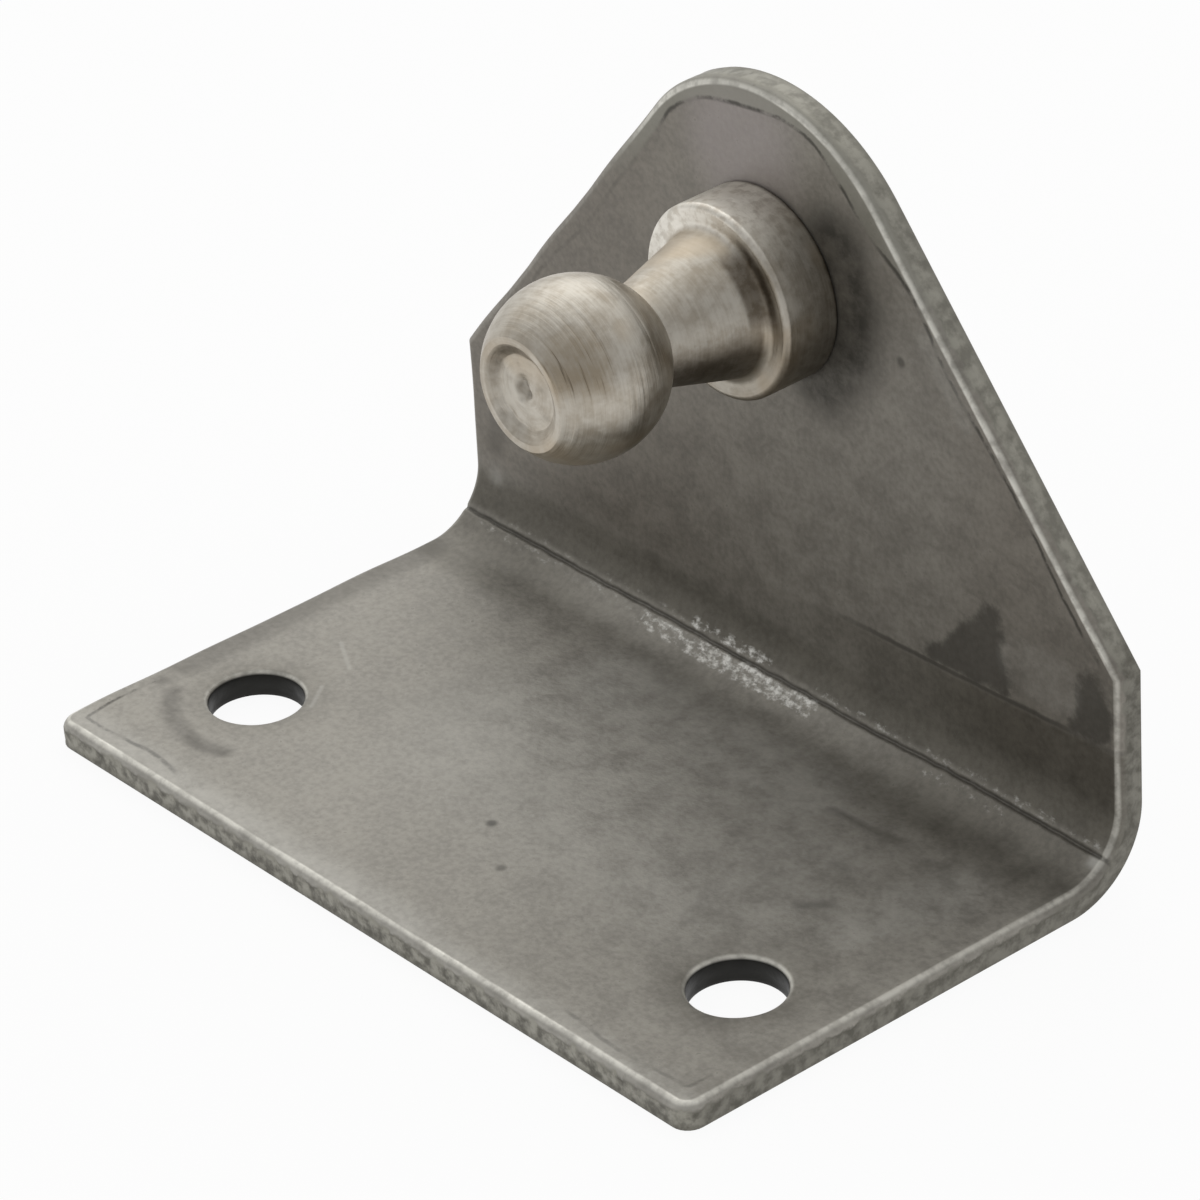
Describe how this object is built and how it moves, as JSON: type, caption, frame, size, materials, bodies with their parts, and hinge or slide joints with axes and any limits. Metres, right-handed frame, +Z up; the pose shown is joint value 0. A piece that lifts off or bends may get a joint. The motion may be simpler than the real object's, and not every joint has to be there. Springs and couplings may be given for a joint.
{
  "type": "gas spring ball bracket",
  "caption": "Folded sheet steel angle with screw holes in its base and a riveted ball stud on its tapered upright, which holds the ball socket of a gas spring.",
  "frame": {"origin": "midway between the two fixing holes, on the underside of the base", "axes": "+X along the bend, +Y from the free edge of the base towards the upright, +Z up; the ball stud points along -Y"},
  "size_m": [0.052, 0.0331, 0.0379],
  "materials": {
    "plate_steel": "raw rolled sheet, matt, with cloudy mill stains",
    "stud_steel": "turned, satin, with fine tool rings"
  },
  "bodies": {
    "root": {"angle_plate": "plate_steel", "ball_stud": "stud_steel"}
  },
  "joints": []
}
